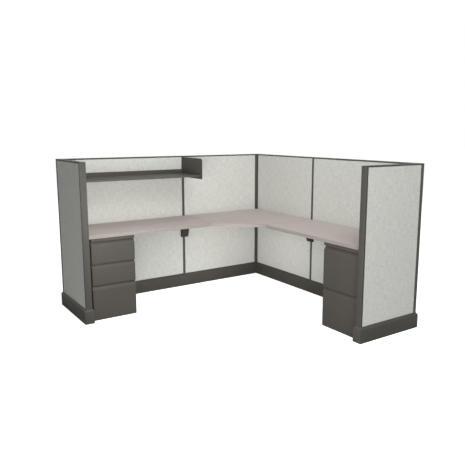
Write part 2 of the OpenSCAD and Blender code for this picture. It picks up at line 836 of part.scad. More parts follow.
// The middle channel of a full-extension slide runs out by half of the drawer's travel
module mid_slides(side, span) {
  color(steel) at_pedestal(side) both_slides(span[0] + box_rise, [
    [slide_lip + mid_start, mid_half_h], [mid_start, mid_half_h],
    [mid_start, -mid_half_h], [slide_lip + mid_start, -mid_half_h]
  ]);
}
module box_drawer_body(span) {
  drawer_body(0, span, mid_start, mid_half_h);
}
module file_drawer_body(side, span) {
  drawer_body(side, span, 2 * mid_start, mid_half_h - mid_start);
}

on_left_return() return_frame();  // left_return_frame
on_back_wall() end_panel_frame();  // back_end_frame
on_back_wall() corner_panel_frame();  // back_corner_frame
on_side_wall() corner_panel_frame();  // side_corner_frame
on_side_wall() end_panel_frame();  // side_end_frame
on_right_return() return_frame();  // right_return_frame
on_left_return() return_inner_tile();  // left_return_inner_tile
on_back_wall() panel_inner_tile(seam, end_panel_w);  // back_end_inner_tile
on_back_wall() panel_inner_tile(post_filler, corner_panel_w);  // back_corner_inner_tile
on_side_wall() panel_inner_tile(post_filler, corner_panel_w);  // side_corner_inner_tile
on_side_wall() panel_inner_tile(seam, end_panel_w);  // side_end_inner_tile
on_right_return() return_inner_tile();  // right_return_inner_tile
on_left_return() return_outer_tile();  // left_return_outer_tile
on_back_wall() end_outer_tile();  // back_end_outer_tile
on_back_wall() corner_outer_tile();  // back_corner_outer_tile
on_side_wall() corner_outer_tile();  // side_corner_outer_tile
on_side_wall() end_outer_tile();  // side_end_outer_tile
on_right_return() return_outer_tile();  // right_return_outer_tile
corner_posts();
connector_plates();
levelling_glides();
on_left_return() cap([base_joint, return_reach], false, []);  // left_return_cap
on_back_wall() cap([-panel_t, wall_l + panel_t], true, [-rail_mid, wall_l + rail_mid]);  // back_wall_cap
on_side_wall() cap([base_joint, wall_l + panel_t], false, [wall_l + rail_mid]);  // side_wall_cap
on_right_return() cap([base_joint, return_reach], false, []);  // right_return_cap
on_left_return() end_trim();  // left_end_trim
on_right_return() end_trim();  // right_end_trim
on_left_return() return_base_covers();  // left_return_base_covers
on_back_wall() wall_base_covers();  // back_wall_base_covers
on_side_wall() wall_base_covers();  // side_wall_base_covers
on_right_return() return_base_covers();  // right_return_base_covers
left_worksurface();
corner_worksurface();
right_worksurface();
cantilever_brackets();
corner_bracket();
joining_plates();
worksurface_screws();
shelf_pan();
shelf_left_end();
shelf_right_end();
pedestal_case(0);  // left_pedestal_case
pedestal_case(1);  // right_pedestal_case
pedestal_glides();
case_slides(0, [file_span, middle_span, upper_span]);  // left_case_slides
case_slides(1, [low_pair_span, high_pair_span]);  // right_case_slides
box_drawer_body(upper_span);  // upper_box_drawer_body
box_drawer_body(middle_span);  // middle_box_drawer_body
file_drawer_body(0, file_span);  // left_file_drawer_body
file_drawer_body(1, high_pair_span);  // right_upper_file_drawer_body
file_drawer_body(1, low_pair_span);  // right_lower_file_drawer_body
drawer_front(0, upper_span);  // upper_box_drawer_front
drawer_front(0, middle_span);  // middle_box_drawer_front
drawer_front(0, file_span);  // left_file_drawer_front
drawer_front(1, high_pair_span);  // right_upper_file_drawer_front
drawer_front(1, low_pair_span);  // right_lower_file_drawer_front
mid_slides(0, file_span);  // left_file_mid_slides
mid_slides(1, high_pair_span);  // right_upper_mid_slides
mid_slides(1, low_pair_span);  // right_lower_mid_slides
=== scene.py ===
# %% [markdown]
# A cubicle workstation, dressed for its picture. The frame below holds every piece at its true
# place and size, in metres, so this lesson only gives each piece its finish: the soft wrapped
# edge of a fabric tile, the rolled bend of painted sheet steel, the banded edge of a laminate top.

import json
import math

import bmesh
import bpy
import numpy as np
from mathutils import Matrix, Vector


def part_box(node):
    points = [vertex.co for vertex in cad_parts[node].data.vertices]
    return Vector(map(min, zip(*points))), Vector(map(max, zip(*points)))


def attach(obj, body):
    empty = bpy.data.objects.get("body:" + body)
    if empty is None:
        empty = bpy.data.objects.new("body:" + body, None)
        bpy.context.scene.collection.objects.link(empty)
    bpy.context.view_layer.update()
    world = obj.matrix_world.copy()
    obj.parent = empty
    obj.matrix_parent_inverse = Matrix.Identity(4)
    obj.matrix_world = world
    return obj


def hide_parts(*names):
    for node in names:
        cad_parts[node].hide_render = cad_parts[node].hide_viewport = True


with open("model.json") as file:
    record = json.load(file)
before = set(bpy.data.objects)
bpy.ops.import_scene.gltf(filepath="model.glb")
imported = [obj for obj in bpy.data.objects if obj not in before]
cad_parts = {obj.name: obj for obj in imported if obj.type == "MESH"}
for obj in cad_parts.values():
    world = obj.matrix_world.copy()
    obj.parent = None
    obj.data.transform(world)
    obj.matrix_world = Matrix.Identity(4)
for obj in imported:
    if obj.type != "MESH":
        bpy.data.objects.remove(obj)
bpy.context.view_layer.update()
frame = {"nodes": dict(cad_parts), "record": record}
body_of_node = {
    node: body
    for body, nodes in frame["record"]["behaviour"]["bodies"].items()
    for node in nodes
}
slot_of_node = {part["node"]: part["material_slot"] for part in frame["record"]["subparts"]}

# %% [markdown]
# The camera comes first, because every other choice is judged through it. Its place and its turn
# were fitted to the corners and seams of the panels. The picture was cut from a larger one, so the
# point that the lens looks straight at lies a little to the right of its middle and above it. A
# camera is easiest to aim from three directions, its right, its up and its view, which become the
# columns of its matrix.

# %% Camera
PICTURE_PX = 465
FOCAL_PX = 545.06
CAMERA_PLACE = (-2.5306, -3.9044, 1.6104)
VIEW_YAW = 0.60214
VIEW_PITCH = 0.17188
VIEW_ROLL = 0.00221
CENTRE_RIGHT_PX = 10.79
CENTRE_UP_PX = 6.13


def camera_axes(yaw, pitch, roll):
    """Right, up and view directions: the view turns yaw from +Y towards +X, dips by pitch, and the
    picture then rolls about it."""
    view = Vector((math.sin(yaw) * math.cos(pitch), math.cos(yaw) * math.cos(pitch), -math.sin(pitch)))
    level = Vector((math.cos(yaw), -math.sin(yaw), 0))
    upright = level.cross(view)
    right = math.cos(roll) * level + math.sin(roll) * upright
    up = math.cos(roll) * upright - math.sin(roll) * level
    return right, up, view


def aim_camera():
    """Places the camera so that the frame falls on the picture's own corners."""
    right, up, view = camera_axes(VIEW_YAW, VIEW_PITCH, VIEW_ROLL)
    turn = Matrix((right, up, -view)).transposed().to_4x4()
    data = bpy.data.cameras.new("camera")
    data.sensor_width = 36
    data.lens = FOCAL_PX * data.sensor_width / PICTURE_PX
    data.shift_x = -CENTRE_RIGHT_PX / PICTURE_PX
    data.shift_y = -CENTRE_UP_PX / PICTURE_PX
    data.clip_end = 60
    camera = bpy.data.objects.new("camera", data)
    bpy.context.scene.collection.objects.link(camera)
    camera.matrix_world = Matrix.Translation(CAMERA_PLACE) @ turn
    bpy.context.scene.camera = camera
    return camera


camera = aim_camera()
print("camera with a lens of", round(camera.data.lens, 2), "mm")

# %% [markdown]
# Materials are node trees. A small helper keeps each finish readable: it makes a Principled
# shader, and `wire` adds one node at a time. Patterns read Object coordinates in metres, so a
# grain of a given size is that size on every piece.

# %% Helpers for materials


def to_linear(channel):
    """The linear value of an sRGB channel from 0 to 255."""
    share = channel / 255
    return share / 12.92 if share <= 0.04045 else ((share + 0.055) / 1.055) ** 2.4


def colour(red, green, blue):
    """A linear RGBA colour from sRGB channels."""
    return (to_linear(red), to_linear(green), to_linear(blue), 1)


class Finish:
    """A material with a Principled shader, built up node by node."""

    def __init__(self, name, roughness, metallic=0.0, specular=0.5):
        self.material = bpy.data.materials.new(name)
        self.material.use_nodes = True
        self.tree = self.material.node_tree
        self.shader = self.tree.nodes["Principled BSDF"]
        self.shader.inputs["Roughness"].default_value = roughness
        self.shader.inputs["Metallic"].default_value = metallic
        self.shader.inputs["Specular IOR Level"].default_value = specular

    def wire(self, kind, inputs=None, **settings):
        """Adds a node, sets its properties, and fills its inputs with values or with sockets."""
        node = self.tree.nodes.new(kind)
        for key, value in settings.items():
            setattr(node, key, value)
        for key, value in (inputs or {}).items():
            if isinstance(value, bpy.types.NodeSocket):
                self.tree.links.new(value, node.inputs[key])
            else:
                node.inputs[key].default_value = value
        return node

    def place(self, uv_map=None, scale=(1, 1, 1)):
        """The pattern's coordinates: the piece's own UV map, or its place in the room."""
        if uv_map:
            start = self.wire("ShaderNodeUVMap", uv_map=uv_map).outputs["UV"]
        else:
            start = self.wire("ShaderNodeTexCoord").outputs["Object"]
        return self.wire("ShaderNodeMapping", {"Vector": start, "Scale": scale}).outputs["Vector"]

    def noise(self, place, scale, detail=2.0, roughness=0.5):
        node = self.wire(
            "ShaderNodeTexNoise",
            {"Vector": place, "Scale": scale, "Detail": detail, "Roughness": roughness},
        )
        return node.outputs["Fac"]

    def ramp(self, value, *stops):
        """A colour ramp through (position, colour) stops."""
        node = self.wire("ShaderNodeValToRGB", {"Fac": value})
        elements = node.color_ramp.elements
        while len(elements) < len(stops):
            elements.new(0.5)
        for element, (position, tint) in zip(elements, stops):
            element.position = position
            element.color = tint
        return node.outputs["Color"]

    def mix(self, share, first, second, blend="MIX"):
        node = self.wire("ShaderNodeMix", data_type="RGBA", blend_type=blend)
        for index, value in ((0, share), (6, first), (7, second)):
            if isinstance(value, bpy.types.NodeSocket):
                self.tree.links.new(value, node.inputs[index])
            else:
                node.inputs[index].default_value = value
        return node.outputs[2]

    def maths(self, operation, first, second=0.0):
        node = self.wire("ShaderNodeMath", operation=operation)
        for index, value in ((0, first), (1, second)):
            if isinstance(value, bpy.types.NodeSocket):
                self.tree.links.new(value, node.inputs[index])
            else:
                node.inputs[index].default_value = value
        return node.outputs["Value"]

    def spread(self, value, low, high):
        """Carries a 0 to 1 value over to the range from low to high."""
        node = self.wire("ShaderNodeMapRange", {"Value": value, "To Min": low, "To Max": high})
        return node.outputs["Result"]

    def bump(self, height, strength, distance, under=None):
        inputs = {"Height": height, "Strength": strength, "Distance": distance}
        if under is not None:
            inputs["Normal"] = under
        return self.wire("ShaderNodeBump", inputs).outputs["Normal"]

    def set(self, socket, value):
        if isinstance(value, bpy.types.NodeSocket):
            self.tree.links.new(value, self.shader.inputs[socket])
        else:
            self.shader.inputs[socket].default_value = value
        return self


# %% [markdown]
# Powder coat is paint baked on as dust. It flows into a fine orange peel, dull but not flat, and
# its colour clouds by a few percent over a large panel. Two noises do that: a small one for the
# peel in the bump and the roughness, and a slow one for the clouding of the colour. Hands, chairs
# and cleaning polish the edges first. A Bevel node turns the normal near an edge only, so how far
# it departs from the true normal marks the edges, and there the paint is paler and smoother.

# %% Powder-coated steel
PEEL_PER_M = 420
CLOUD_PER_M = 2.6
SCUFF_PER_M = 38
PEEL_DEPTH = 0.00025
RUBBED_R = 0.0016
RUBBED_GAIN, RUBBED_LIFT = 1.9, 0.02


def rubbed_edges(finish, place):
    """0 on flat faces, up to 1 where an edge is rubbed, broken up by a noise."""
    turned = finish.wire("ShaderNodeBevel", {"Radius": RUBBED_R}, samples=4).outputs["Normal"]
    true = finish.wire("ShaderNodeNewGeometry").outputs["Normal"]
    along = finish.wire("ShaderNodeVectorMath", {0: turned, 1: true}, operation="DOT_PRODUCT")
    edge = finish.wire(
        "ShaderNodeMapRange",
        {"Value": along.outputs["Value"], "From Min": 0.98, "From Max": 0.80},
    )
    broken = finish.noise(place, SCUFF_PER_M, detail=4, roughness=0.65)
    return finish.maths("MULTIPLY", edge.outputs["Result"], broken)


def powder_coat(name, tint, roughness=0.58, cloud=0.05, wear=0.5):
    """Satin powder coat of an sRGB tint, paler and smoother where its edges are rubbed."""
    finish = Finish(name, roughness, specular=0.22)
    place = finish.place()
    base = colour(*tint)
    darker = tuple(c * (1 - cloud) for c in base[:3]) + (1,)
    lighter = tuple(c * (1 + cloud) for c in base[:3]) + (1,)
    pale = tuple(c * RUBBED_GAIN + RUBBED_LIFT for c in base[:3]) + (1,)
    clouds = finish.noise(place, CLOUD_PER_M, detail=4, roughness=0.6)
    paint = finish.ramp(clouds, (0.3, darker), (0.7, lighter))
    rubbed = finish.maths("MULTIPLY", rubbed_edges(finish, place), wear)
    finish.set("Base Color", finish.mix(rubbed, paint, pale))
    peel = finish.noise(place, PEEL_PER_M, detail=3, roughness=0.55)
    dull = finish.spread(peel, roughness - 0.06, roughness + 0.08)
    finish.set("Roughness", finish.maths("SUBTRACT", dull, finish.maths("MULTIPLY", rubbed, 0.2)))
    finish.set("Normal", finish.bump(peel, 0.35, PEEL_DEPTH))
    return finish.material


coats = {
    "frame_steel": powder_coat("frame_powder_coat", (77, 74, 69)),
    "trim_paint": powder_coat("trim_powder_coat", (70, 67, 62)),
    # The bracket coat is darker than the frame's: painted shade, for the shadow the brackets sit in
    # under the tops.
    "bracket_paint": powder_coat("bracket_coat_with_painted_shade", (56, 54, 50)),
    "shelf_paint": powder_coat("shelf_powder_coat", (77, 74, 68)),
    "pedestal_paint": powder_coat("pedestal_powder_coat", (69, 66, 61)),
    "drawer_steel": powder_coat("drawer_body_paint", (138, 135, 131), roughness=0.5),
}
print("powder coats:", ", ".join(sorted(coats)))

# %% [markdown]
# Slides and screws are zinc plated: a real metal, so the shader's Metallic is 1 and the colour is
# its reflection. Long shallow brush marks along the channel come from a noise stretched one way.

# %% Zinc and black plastic


def zinc_plate():
    finish = Finish("zinc_plate", 0.34, metallic=1.0)
    place = finish.place(scale=(1, 1, 6))
    marks = finish.noise(place, 90, detail=5, roughness=0.6)
    dull, bright = colour(172, 172, 168), colour(196, 196, 193)
    finish.set("Base Color", finish.ramp(marks, (0.3, dull), (0.75, bright)))
    finish.set("Roughness", finish.spread(marks, 0.26, 0.46))
    finish.set("Normal", finish.bump(marks, 0.2, 0.0002))
    return finish.material


def glide_plastic():
    finish = Finish("glide_plastic", 0.55, specular=0.4)
    place = finish.place()
    grain = finish.noise(place, 900, detail=2)
    dark, pale = colour(38, 37, 36), colour(50, 49, 47)
    finish.set("Base Color", finish.ramp(grain, (0.35, dark), (0.7, pale)))
    finish.set("Normal", finish.bump(grain, 0.3, 0.0001))
    return finish.material


coats["zinc_steel"] = zinc_plate()
coats["glide_black"] = glide_plastic()

# %% [markdown]
# Panel fabric is a plain weave of pale threads, some of them spun a little darker or thicker. So
# from across the room it is covered in short fine streaks, upright ones along the warp and level
# ones along the weft. Two noises, each stretched one way, lay the streaks. Two finer ones give
# single threads, and crossed waves in the bump give the weave itself. All of them read the tile's
# UV map, so that the threads follow the cloth round its edges.

# %% Panel fabric
FABRIC = (198, 199, 193)
DARK_YARN, LIGHT_YARN = 0.87, 1.10
THREAD_PER_M = 900
STREAK_WIDE_PER_M = 130
STREAK_LONG_PER_M = 14


def woven(finish, wide, long, detail=2.0):
    """Warp streaks, narrow across and long upwards, and weft streaks, the other way round."""
    warp = finish.noise(finish.place("cloth", (wide, long, 1)), 1, detail=detail, roughness=0.6)
    weft = finish.noise(finish.place("cloth", (long * 1.3, wide, 1)), 1, detail=detail, roughness=0.6)
    return finish.maths("MULTIPLY", finish.maths("ADD", warp, weft), 0.5)


def panel_fabric():
    finish = Finish("panel_fabric", 0.92, specular=0.15)
    streaks = woven(finish, STREAK_WIDE_PER_M, STREAK_LONG_PER_M, detail=3)
    threads = woven(finish, THREAD_PER_M, 45)
    base = colour(*FABRIC)
    dark = tuple(c * DARK_YARN for c in base[:3]) + (1,)
    light = tuple(c * LIGHT_YARN for c in base[:3]) + (1,)
    heather = finish.ramp(streaks, (0.38, dark), (0.5, base), (0.62, light))
    single = finish.ramp(threads, (0.38, (0.86, 0.86, 0.86, 1)), (0.6, (1, 1, 1, 1)))
    finish.set("Base Color", finish.mix(0.8, heather, single, "MULTIPLY"))
    place = finish.place(uv_map="cloth")
    waves = [
        finish.wire(
            "ShaderNodeTexWave",
            {"Vector": place, "Scale": THREAD_PER_M / 20, "Distortion": 0.6, "Detail": 1.0},
            wave_type="BANDS",
            bands_direction=direction,
        ).outputs["Fac"]
        for direction in ("X", "Y")
    ]
    nubs = finish.bump(streaks, 0.25, 0.0006)
    weave = finish.maths("MAXIMUM", *waves)
    finish.set("Normal", finish.bump(weave, 0.18, 0.0003, under=nubs))
    finish.set("Sheen Weight", 0.1)
    finish.set("Sheen Roughness", 0.5)
    return finish.material


coats["fabric"] = panel_fabric()

# %% [markdown]
# The tops are warm grey laminate: a printed paper under a dull melamine skin, with a light pearl
# texture that breaks up reflections. The pattern is a soft fleck, far too fine to see from across
# the room, over a slow change of tone.

# %% Laminate
FLECK_SHARE = 0.7
FLECK_PER_M = 260
PEARL_PER_M = 700


def top_laminate(name, tint, fleck=0.05):
    finish = Finish(name, 0.6, specular=0.15)
    place = finish.place()
    flecks = finish.noise(place, FLECK_PER_M, detail=5, roughness=0.7)
    clouds = finish.noise(place, 3.0, detail=3)
    fine = finish.maths("MULTIPLY", flecks, FLECK_SHARE)
    blend = finish.maths("ADD", fine, finish.maths("MULTIPLY", clouds, 1 - FLECK_SHARE))
    base = colour(*tint)
    dark = tuple(c * (1 - fleck) for c in base[:3]) + (1,)
    light = tuple(c * (1 + fleck) for c in base[:3]) + (1,)
    finish.set("Base Color", finish.ramp(blend, (0.35, dark), (0.65, light)))
    pearl = finish.noise(place, PEARL_PER_M, detail=2)
    finish.set("Roughness", finish.spread(pearl, 0.54, 0.68))
    finish.set("Normal", finish.bump(pearl, 0.2, 0.0001))
    return finish.material


coats["laminate"] = top_laminate("top_laminate", (183, 174, 168))
print("finishes for", len(coats), "slots")

# %% [markdown]
# Every node of the frame gets the finish of its slot. Most of them are covered by softer pieces
# below, but the frames, the connector plates and the slides stay as they are: they were rolled and
# punched with square edges, and only slits and open drawers show them.

# %% Give the frame's own nodes their finishes
for name, node in frame["nodes"].items():
    node.data.materials.clear()
    node.data.materials.append(coats[slot_of_node[name]])
print(len(frame["nodes"]), "nodes painted")

# %% [markdown]
# Most visible pieces here are one idea: a closed outline carried along a straight line, with its
# rim rounded where it starts and where it ends. A fabric tile is a rectangle carried through the
# tile's thickness, a worksurface is its plan carried upwards, and a drawer front is its side view
# carried across the pedestal. First come the outlines, as arrays of points.

# %% Outlines


def round_corners(corners, radii, steps=6):
    """A closed outline with its corners made round.

    At a corner where the path turns by the angle turn, the arc of radius r starts r tan(turn / 2)
    before the corner. Its centre lies r to the inner side of that start, and the arc's points are
    the start turned about the centre by equal shares of the angle."""
    at = np.array(corners, float)
    radius = np.broadcast_to(np.array(radii, float), len(at))[:, None]
    into = at - np.roll(at, 1, axis=0)
    into /= np.linalg.norm(into, axis=1, keepdims=True)
    out = np.roll(into, -1, axis=0)
    turn = np.arctan2(into[:, 0] * out[:, 1] - into[:, 1] * out[:, 0], (into * out).sum(1))[:, None]
    start = at - into * radius * np.tan(np.abs(turn) / 2)
    to_centre = np.sign(turn) * radius * np.stack([-into[:, 1], into[:, 0]], axis=1)
    centre = start + to_centre
    angle = turn * np.linspace(0, 1, steps)[None]
    cos, sin = np.cos(angle), np.sin(angle)
    x = centre[:, :1] - to_centre[:, :1] * cos + to_centre[:, 1:] * sin
    y = centre[:, 1:] - to_centre[:, :1] * sin - to_centre[:, 1:] * cos
    return np.stack([x.ravel(), y.ravel()], axis=1)


def mitres(outline):
    """The outward direction at each point, as long as it must be to move both edges out by 1: the
    sum of the two edges' normals over 1 plus their dot product."""
    edge = np.roll(outline, -1, axis=0) - outline
    edge /= np.linalg.norm(edge, axis=1, keepdims=True)
    after = np.stack([edge[:, 1], -edge[:, 0]], axis=1)
    before = np.roll(after, 1, axis=0)
    return (before + after) / (1 + (before * after).sum(1, keepdims=True))


def quarter(radius, steps=4):
    """(inset, height) pairs round a low outer edge: radius (1 - sin), radius (1 - cos)."""
    angle = np.linspace(0, math.pi / 2, steps)
    return radius * np.stack([1 - np.sin(angle), 1 - np.cos(angle)], axis=1)


def rounded_rim(thickness, low_r, high_r, reach, steps=4):
    """(inset, height) pairs that carry an outline through a thickness: out from an inset of reach,
    round the low edge, up the side, round the high edge, and back in to reach. Where reach is the
    radius of the outline's own corners, each corner's points meet there in one."""
    low, high = quarter(low_r, steps), quarter(high_r, steps)[::-1]
    high = np.stack([high[:, 0], thickness - high[:, 1]], axis=1)
    return np.vstack([[[reach, 0]], low, high, [[reach, thickness]]])


print("a rim with two edges takes", len(rounded_rim(0.01, 0.002, 0.002, 0.003)), "rings")

# %% [markdown]
# Next, the carrying. The rings of points lie one above the other, so the faces are a plain grid of
# quads between neighbours, with one flat face over each end. A face looks outwards when its corners
# run anticlockwise seen from outside, so a mirrored set of axes has them turned round.

# %% Carrying an outline
SHARP_DEG = 40
MERGE_DIST = 1e-6
UP = np.array([0, 0, 1.0])


def weld(mesh, flat_deg=None):
    """Merges points that lie in one place. With an angle, also joins faces that are flat to it."""
    work = bmesh.new()
    work.from_mesh(mesh)
    bmesh.ops.remove_doubles(work, verts=work.verts, dist=MERGE_DIST)
    if flat_deg:
        limit = math.radians(flat_deg)
        bmesh.ops.dissolve_limit(work, angle_limit=limit, verts=work.verts, edges=work.edges)
    work.to_mesh(mesh)
    work.free()


def make_piece(name, points, faces, material):
    """A mesh object at the origin from an array of points and a list of faces."""
    mesh = bpy.data.meshes.new(name)
    mesh.from_pydata(np.reshape(points, (-1, 3)).tolist(), [], faces)
    weld(mesh)
    mesh.shade_smooth()
    mesh.set_sharp_from_angle(angle=math.radians(SHARP_DEG))
    mesh.materials.append(material)
    piece = bpy.data.objects.new(name, mesh)
    bpy.context.scene.collection.objects.link(piece)
    return piece


def stands_for(piece, *nodes):
    """Puts a piece in the place of CAD nodes: same body, same material slot."""
    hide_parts(*nodes)
    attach(piece, body_of_node[nodes[0]])
    return piece


def end_face(around, thin):
    """The face over an end ring. A thin bent sheet has it as quads from one side of the sheet to
    the other, because one face with that many bends is hard to cut into triangles."""
    if not thin:
        return [list(range(around))]
    i = np.arange(around // 2 - 1)
    return np.stack([i, i + 1, around - 2 - i, around - 1 - i], axis=1).tolist()


def ring_faces(rings, around, capped=True, closed=False, thin=False):
    """Quads between each ring of points and the next. Capped adds a face over each end, and
    closed joins the last ring to the first."""
    k, i = np.meshgrid(np.arange(rings if closed else rings - 1), np.arange(around), indexing="ij")
    up, on = (k + 1) % rings, (i + 1) % around
    quads = np.stack([k * around + i, k * around + on, up * around + on, up * around + i], axis=-1)
    faces = quads.reshape(-1, 4).tolist()
    if capped:
        last = (rings - 1) * around
        for face in end_face(around, thin):
            faces += [face[::-1], [point + last for point in face]]
    return faces


def carried(name, outline, rim, origin, axes, material, thin=False):
    """Carries an outline along a line, with its rim's insets and heights.

    Ring k is the outline moved in by the rim's inset k along its mitres. Its points are
    origin + a first + b second + height third, where (a, b) is the point of the outline and first,
    second and third are the axes."""
    inset, height = rim[:, 0], rim[:, 1]
    flat = outline[None] - inset[:, None, None] * mitres(outline)[None]
    rise = np.broadcast_to(height[:, None, None], flat.shape[:2] + (1,))
    axes = np.array(axes, float)
    points = np.array(origin, float) + np.concatenate([flat, rise], axis=2) @ axes
    faces = ring_faces(len(rim), len(outline), thin=thin)
    if np.linalg.det(axes) < 0:
        faces = [face[::-1] for face in faces]
    return make_piece(name, points, faces, material)


# %% [markdown]
# A panel's fabric tile is a board with cloth pulled over its edges and glued behind. The cloth
# rounds the board's edge, so the tile gets a soft rim. Its own UV map runs along the wall and up
# it, in metres, and goes on round the edge, as the cloth does.

# %% Fabric tiles
TILE_EDGE_R = 0.0035
TILE_BACK_R = 0.0005
TILE_CORNER_R = 0.0045
BOLT_STEP = 3.7


def tile_axes(node):
    """Along, up and outward directions of a tile. The thin side of its box is its thickness, and an
    inner tile faces the middle of the room."""
    low, high = (np.array(corner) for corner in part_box(node))
    thin = int(np.argmin(high - low))
    outward = np.zeros(3)
    outward[thin] = np.sign((low + high)[thin]) * (-1 if node.endswith("_inner_tile") else 1)
    return (np.cross(UP, outward), UP, outward), low, high


def fabric_tile(node, bolt):
    """A tile wrapped in cloth. Its UV map is the place along the wall, carried on round the edge,
    and the height. Each tile is moved on by a step of its own along the bolt of cloth."""
    axes, low, high = tile_axes(node)
    middle = (low + high) / 2
    width, height, depth = (abs((high - low) @ axis) for axis in axes)
    origin = middle - axes[0] * width / 2 - axes[1] * height / 2 - axes[2] * depth / 2
    outline = round_corners([(0, 0), (width, 0), (width, height), (0, height)], TILE_CORNER_R, 4)
    rim = rounded_rim(depth, TILE_BACK_R, TILE_EDGE_R, TILE_CORNER_R, steps=6)
    tile = carried(node + "_cloth", outline, rim, origin, axes, coats["fabric"])
    points = np.empty(len(tile.data.vertices) * 3, np.float32)
    tile.data.vertices.foreach_get("co", points)
    from_middle = points.reshape(-1, 3) - middle
    across, behind = from_middle @ axes[0], depth / 2 - from_middle @ axes[2]
    on_rim = np.abs(across) > width / 2 - TILE_EDGE_R
    u = across + np.sign(across) * behind * on_rim + bolt * BOLT_STEP
    uv = np.stack([u, from_middle[:, 2] + middle[2]], axis=1).astype(np.float32)
    corner_of = np.empty(len(tile.data.loops), np.int32)
    tile.data.loops.foreach_get("vertex_index", corner_of)
    tile.data.uv_layers.new(name="cloth").data.foreach_set("uv", uv[corner_of].ravel())
    return stands_for(tile, node)


tiles = sorted(n for n in frame["nodes"] if n.endswith("_tile"))
for bolt, node in enumerate(tiles):
    fabric_tile(node, bolt)
print(len(tiles), "fabric tiles")

# %% [markdown]
# Sheet steel bends round a former, so none of its edges is sharp, and each catches a thin line of
# light. Where a folded piece's shape is already right, a copy of the CAD mesh is welded, its flat
# faces are joined again, and a small Bevel modifier rounds the edges.

# %% Folded pieces with softened edges
FLAT_DEG = 1.0
CREASE_DEG = 25.0


def welded_copy(node, name):
    """A copy of a node's mesh with its loose triangles merged and its flat faces made whole."""
    mesh = frame["nodes"][node].data.copy()
    mesh.name = name
    piece = bpy.data.objects.new(name, mesh)
    bpy.context.scene.collection.objects.link(piece)
    weld(mesh, FLAT_DEG)
    return piece


def softened(node, radius, segments=2):
    """A welded copy of a node with its edges rounded by a radius."""
    piece = welded_copy(node, node + "_folded")
    piece.data.materials.clear()
    piece.data.materials.append(coats[slot_of_node[node]])
    piece.data.shade_smooth()
    bevel = piece.modifiers.new("edge_radius", "BEVEL")
    bevel.width = radius
    bevel.segments = segments
    bevel.limit_method = "ANGLE"
    bevel.angle_limit = math.radians(CREASE_DEG)
    bevel.harden_normals = True
    return stands_for(piece, node)


EDGE_RADII = {
    0.0009: [n for n in frame["nodes"] if n.endswith("_cap") or n.endswith("_trim")],
    0.0006: [n for n in frame["nodes"] if n.endswith("_base_covers") or n.endswith("_case")]
    + ["corner_posts"],
    0.0010: ["cantilever_brackets", "corner_bracket", "joining_plates"],
    0.0004: [n for n in frame["nodes"] if n.endswith("_drawer_body")],
}
for radius, nodes in EDGE_RADII.items():
    for node in nodes:
        softened(node, radius)
print(sum(map(len, EDGE_RADII.values())), "folded pieces softened")

# %% [markdown]
# A laminate top is a board with a plastic band glued round its edge. The band is as thick as a
# fingernail, its edges are rounded, and a hairline shows where it meets the laminate. So each top
# is two pieces: the board, a little smaller than the plan, and the band round it.

# %% Worksurfaces
BAND_T = 0.002
HAIRLINE = 0.00015
CURVE_DIP = 0.040
CURVE_STEPS = 48
PLAN_CORNER_R = 0.003
GROUND_AXES = ((1, 0, 0), (0, 1, 0), (0, 0, 1))


def straight_plan(node):
    """The rectangle of a straight top."""
    low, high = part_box(node)
    corners = [(low.x, low.y), (high.x, low.y), (high.x, high.y), (low.x, high.y)]
    return round_corners(corners, PLAN_CORNER_R)


def corner_plan():
    """The corner top: a square with one corner cut back on an arc. The arc joins the ends of the
    two straight front edges and dips by CURVE_DIP from its chord, so its radius is
    (half chord squared + dip squared) / (2 dip)."""
    low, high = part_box("corner_worksurface")
    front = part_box("left_worksurface")[0].y
    first, last = np.array([low.x, front]), np.array([front, low.y])
    half = np.linalg.norm(last - first) / 2
    radius = (half**2 + CURVE_DIP**2) / (2 * CURVE_DIP)
    centre = (first + last) / 2 - (radius - CURVE_DIP) / math.sqrt(2)
    angle = math.pi / 4 + np.linspace(1, -1, CURVE_STEPS) * math.asin(half / radius)
    arc = centre + radius * np.stack([np.cos(angle), np.sin(angle)], axis=1)
    corners = [first, last, (high.x, low.y), (high.x, high.y), (low.x, high.y)]
    steps = 6
    return np.vstack([arc, round_corners(corners, PLAN_CORNER_R, steps)[2 * steps :]])


def banded_top(node, plan):
    """A top in two pieces. The band's section, with both outer edges rounded, goes round the plan."""
    low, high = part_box(node)
    thickness = high.z - low.z
    board_plan = plan - (BAND_T + HAIRLINE) * mitres(plan)
    rim = rounded_rim(thickness, HAIRLINE, HAIRLINE, PLAN_CORNER_R - BAND_T - HAIRLINE, steps=2)
    board = carried(node + "_board", board_plan, rim, (0, 0, low.z), GROUND_AXES, coats["laminate"])
    bow = quarter(BAND_T, 6)
    section = np.vstack([bow, (bow * (1, -1) + (0, thickness))[::-1]])
    flat = plan[None] - section[:, :1, None] * mitres(plan)[None]
    rise = np.broadcast_to(low.z + section[:, 1][:, None, None], flat.shape[:2] + (1,))
    faces = ring_faces(len(section), len(plan), capped=False, closed=True)
    points = np.concatenate([flat, rise], axis=2)
    band = make_piece(node + "_edge_band_painted_shade", points, faces, coats["edge_band_painted_shade"])
    return stands_for(board, node), stands_for(band, node)


# The band is the top's laminate darkened: painted shade, to hold down the strong light the front lamps
# throw on its upright face.
coats["edge_band_painted_shade"] = top_laminate("edge_band_painted_shade", (136, 129, 124), fleck=0.03)
banded_top("left_worksurface", straight_plan("left_worksurface"))
banded_top("right_worksurface", straight_plan("right_worksurface"))
banded_top("corner_worksurface", corner_plan())
print("three tops, banded")

# %% [markdown]
# A drawer front is a steel pan whose top leans back to make a full-width finger pull. Its side
# view has five corners, each bent to a radius, and it is carried across the pedestal with a
# tighter radius at its two ends, where the sheet is cut and folded in.

# %% Drawer fronts
PULL_H = 0.033
PULL_LIP = 0.003
BEND_R = 0.0025
PULL_BEND_R = 0.006
LIP_R = 0.0014
FOLD_R = 0.0012


